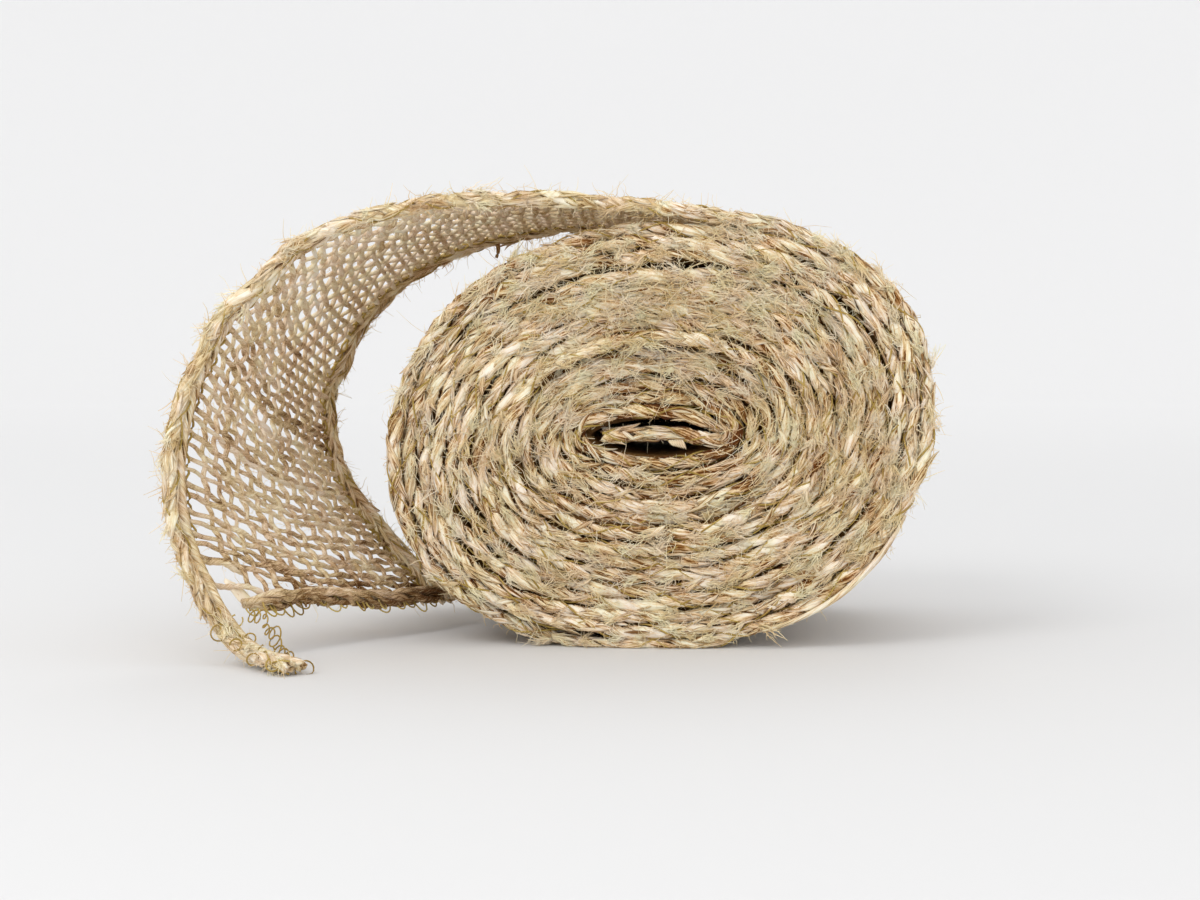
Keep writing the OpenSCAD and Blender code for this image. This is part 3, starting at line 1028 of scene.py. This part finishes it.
def backing(name, start, end):
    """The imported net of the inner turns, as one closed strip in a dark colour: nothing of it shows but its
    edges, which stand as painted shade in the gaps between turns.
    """
    part = Part()
    s = steps(start, end, 2.4)
    half_t = 1.15 + 0.5 * smooth(7.5 - turns_out(s))
    front, back = 3.2 + face_step(s), RIBBON_W - 3.0
    corners = [(front, half_t), (back, half_t), (back, -half_t), (front, -half_t)]
    rings = np.stack([place(s, across, lift + slack(s)) for across, lift in corners], 1)[None]
    far = np.broadcast_to(s[None, :, None], rings.shape[:3])
    fibre = np.stack([far, np.broadcast_to([0.0, 30.0, 30.0, 0.0], rings.shape[:3]), far], -1)
    part.add(rings, fibre, 0.5, 0)
    piece = part.piece(name, [BACKING_SHADE])
    return piece


def blend_fold(piece):
    """Bakes a piece's transform into its mesh."""
    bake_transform(piece)


# How many turns show their net on the outside, and the turns where the roll's cords are divided
OUTER_TURNS = 1.1
CORD_CUTS = (5.5, 8.5, 11, 12.9)
net_start = wound_s(WOUND_ANGLE - 360 * OUTER_TURNS)
roll_end = -12.0
inner_cut = PATH_START + INNER_END_L - 5
inner_bend_end = wound_s(90)

# The roll, in lengths that keep each mesh light
roll_cuts = [inner_bend_end, *[wound_s(360 * turn) for turn in CORD_CUTS], roll_end]
for side_name, side in SIDES.items():
    for i, (start, end) in enumerate(zip(roll_cuts, roll_cuts[1:])):
        front, last = side > 0, i == len(roll_cuts) - 2
        coil = selvedge(f"roll_{side_name}_selvedge_{i + 1}", side, start, end, step=0.8 if front else 1.25,
                        sides=12 if front else 9, fuzz=3.2 if front else 1.2,
                        tufts=int((end - start) / (5 if front else 35)), seed=2000 + 100 * i + 10 * side,
                        reach=1.35 if front and i < 3 else 0.6, slivers=0.45 if front else 0.2,
                        both_cords=last, extras=[(add_loose_turn, YARNS)] if front and last else [])
        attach(coil, "roll")
        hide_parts(f"{side_name}_selvedge_coil")
    thread = stitching(f"roll_{side_name}_stitching", side, wound_s(WOUND_ANGLE - 400), roll_end)
    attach(thread, "roll")
    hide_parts(f"{side_name}_stitching_coil")

packed = backing("roll_packed_net", inner_bend_end, net_start)
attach(packed, "roll")
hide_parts("web_coil")
outer_net = net("roll_outer_net", net_start, roll_end, fuzz=5, seed=31, step=1.1)
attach(outer_net, "roll")
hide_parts("web_coil")

# The inner end and the bend that joins it to the first turn
inner_zones = (("inner_end", PATH_START, inner_cut), ("inner_end_bend", inner_cut, inner_bend_end))
for zone, start, end in inner_zones:
    made = [selvedge(f"{zone}_{n}_cords", side, start, end, step=0.7, sides=12, fuzz=5, tufts=2,
                     seed=2600 + 10 * side,
                     extras=[(add_ragged_sliver, YARNS)] if zone == "inner_end" and side > 0 else [])
            for n, side in SIDES.items()]
    made.append(net(f"{zone}_net", start, end, fuzz=0.8, seed=33))
    for piece in made:
        if zone == "inner_end":
            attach(piece, "inner_end")
        else:
            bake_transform(piece)
    if zone == "inner_end":
        for piece, node in zip(made, ("front_selvedge", "back_selvedge", "web")):
            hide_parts(f"inner_end_{node}")

# The tail, in lengths that each bend over one fold
panels = ["peel", "crown", "shoulder", "side", "foot"]
fold_places = list(FOLDS.values())
middles = [(a + b) / 2 for a, b in zip(fold_places, fold_places[1:])]
cuts = [roll_end, *middles]
for i, panel in enumerate(panels):
    start, end = cuts[i], cuts[i + 1]
    web_end = CUT_AT if panel == "foot" else end
    cords = SELVEDGE_MATERIALS if panel == "peel" else TAIL_MATERIALS
    made = [
        selvedge(f"{panel}_bend_front_cords", 1, start, end, step=0.6, sides=14, fuzz=8, tufts=4,
                 seed=3000 + i, materials=cords),
        selvedge(f"{panel}_bend_back_cords", -1, start, web_end, step=0.7, sides=12, fuzz=6, tufts=2,
                 seed=3100 + i, materials=cords,
                 extras=[(add_hanging_end, YARNS)] if panel == "crown" else []),
        stitching(f"{panel}_bend_front_stitch", 1, start, end),
        stitching(f"{panel}_bend_back_stitch", -1, start, web_end),
        net(f"{panel}_bend_net", start, web_end, fuzz=10, seed=3200 + i),
    ]
    if panel == "foot":
        made.insert(4, cut_end("foot_bend_hem"))
        blend_fold(made[4])
    nodes = ["front_selvedge", "back_selvedge", "front_stitching", "back_stitching", "web"]
    for piece, node in zip(made[:4] + made[-1:], nodes):
        blend_fold(piece)
        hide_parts(f"{panel}_{node}")
    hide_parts(f"{panel}_fold_yarn")

tip = selvedge("tip_bend_cords", 1, cuts[-1], CUT_AT + TIP_L, step=0.6, sides=14, fuzz=9, tufts=5, seed=3300,
               extras=[(add_cut_loops, THREADS), (add_tip_loops, THREADS)], materials=TAIL_MATERIALS)
blend_fold(tip)
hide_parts("selvedge_tip", "selvedge_tip_fold_yarn")


# ---------- floor, light and camera

# How pale the floor is at distances from the middle, in metres: far from the lamps it has to be paler
FLOOR_GREYS = [(0.1, 0.74), (0.5, 0.785), (1.15, 0.86), (1.6, 0.905), (2.6, 0.93)]


def add_floor():
    """A round floor of paper whose rim curves up into a wall all round."""
    floor_mesh = bpy.data.meshes.new("floor")
    reach, rim = 1.6, 1.2
    profile = [(0.0, 0.0), (reach, 0.0)]
    climb = np.radians(np.arange(6, 91, 6))
    profile += [(reach + rim * math.sin(a), rim * (1 - math.cos(a))) for a in climb]
    around = np.radians(np.arange(0, 360, 5))
    points = [(r * math.cos(a), r * math.sin(a), z) for r, z in profile[1:] for a in around]
    count = len(around)
    faces = [tuple(range(count))]
    for ring in range(len(profile) - 2):
        for i in range(count):
            here, after = ring * count + i, ring * count + (i + 1) % count
            faces.append((here + count, after + count, after, here))
    floor_mesh.from_pydata(points, [], faces)
    floor_mesh.polygons.foreach_set("use_smooth", [True] * len(faces))
    material, nodes, links = nodes_of("floor_paper")
    shader = nodes["Principled BSDF"]
    where = nodes.new("ShaderNodeTexCoord")
    distance = add_node(nodes, "VectorMath", operation="LENGTH")
    links.new(where.outputs["Object"], distance.inputs[0])
    spread = add_node(nodes, "Math", [(1, reach + rim)], operation="DIVIDE")
    links.new(distance.outputs["Value"], spread.inputs[0])
    ramp = nodes.new("ShaderNodeValToRGB")
    fill_ramp(ramp, [(at / (reach + rim), (grey, grey, grey * 1.004, 1)) for at, grey in FLOOR_GREYS])
    links.new(spread.outputs[0], ramp.inputs["Fac"])
    links.new(ramp.outputs["Color"], shader.inputs["Base Color"])
    shader.inputs["Roughness"].default_value = 0.9
    shader.inputs["Specular IOR Level"].default_value = 0.1
    floor_mesh.materials.append(material)
    floor = add_object("floor", floor_mesh)


ROLL_HEART = Vector((0.0, 0.0, 0.04))


def area_light(name, where, size, power):
    light = bpy.data.lights.new(name, "AREA")
    light.shape, light.size, light.energy = "SQUARE", size, power
    lamp = add_object(name, light)
    lamp.location = where
    lamp.rotation_mode = "QUATERNION"
    lamp.rotation_quaternion = (ROLL_HEART - Vector(where)).to_track_quat("-Z", "Y")


add_floor()
world = bpy.data.worlds.new("studio")
world.use_nodes = True
world.node_tree.nodes["Background"].inputs["Color"].default_value = (1.0, 1.0, 1.0, 1)
world.node_tree.nodes["Background"].inputs["Strength"].default_value = 0.91
bpy.context.scene.world = world
area_light("key", (-0.5, -0.6, 0.7), 0.4, 2.5)
area_light("front_fill", (0.35, -1.89, 0.96), 1.26, 7.6)
area_light("back_fill", (0.1, 1.0, 1.5), 0.8, 2.0)

camera = bpy.data.cameras.new("camera")
camera.sensor_width = 36.0
camera.lens = 57.2
camera.clip_start = 0.01
eye = add_object("camera", camera)
eye.location = (0.0012, -0.38, 0.055)
turn_left, look_down = math.radians(1.2), math.radians(3.0)
heading = Vector((-math.sin(turn_left) * math.cos(look_down), math.cos(turn_left) * math.cos(look_down),
                  -math.sin(look_down)))
eye.rotation_mode = "QUATERNION"
eye.rotation_quaternion = heading.to_track_quat("-Z", "Y")
bpy.context.scene.camera = eye
bpy.context.scene.view_settings.view_transform = "Standard"
